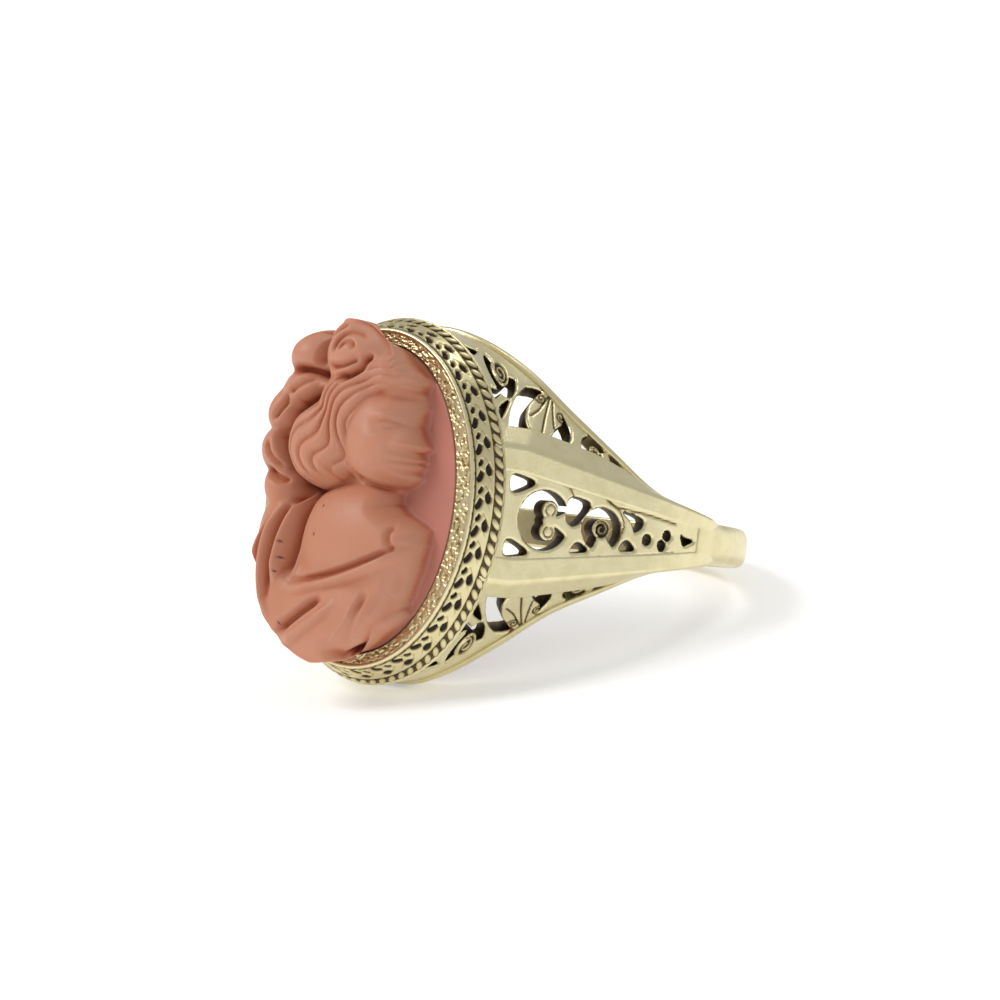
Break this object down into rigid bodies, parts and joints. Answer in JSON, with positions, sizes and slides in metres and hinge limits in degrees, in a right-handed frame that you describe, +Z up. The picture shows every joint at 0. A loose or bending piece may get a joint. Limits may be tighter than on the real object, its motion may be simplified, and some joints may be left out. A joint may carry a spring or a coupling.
{
  "type": "cameo ring",
  "caption": "Woman's ring: coral cameo with a carved bust in an oval milled bezel, on an open gallery and pierced filigree shoulders that taper into a narrow shank.",
  "frame": {"origin": "centre of the bounding box at floor level, with the ring lying on its side as it rests", "axes": "+X across the finger, -Y the way the cameo faces, tilted up by 22 degrees, +Z up; the finger hole's line runs up and back"},
  "size_m": [0.0196, 0.026, 0.0172],
  "materials": {
    "gold": "pale greenish gold, worn satin, with dark patina in the hollows",
    "coral": "satin, carved"
  },
  "bodies": {
    "root": {"mounting": "gold", "cameo": "coral"}
  },
  "joints": []
}
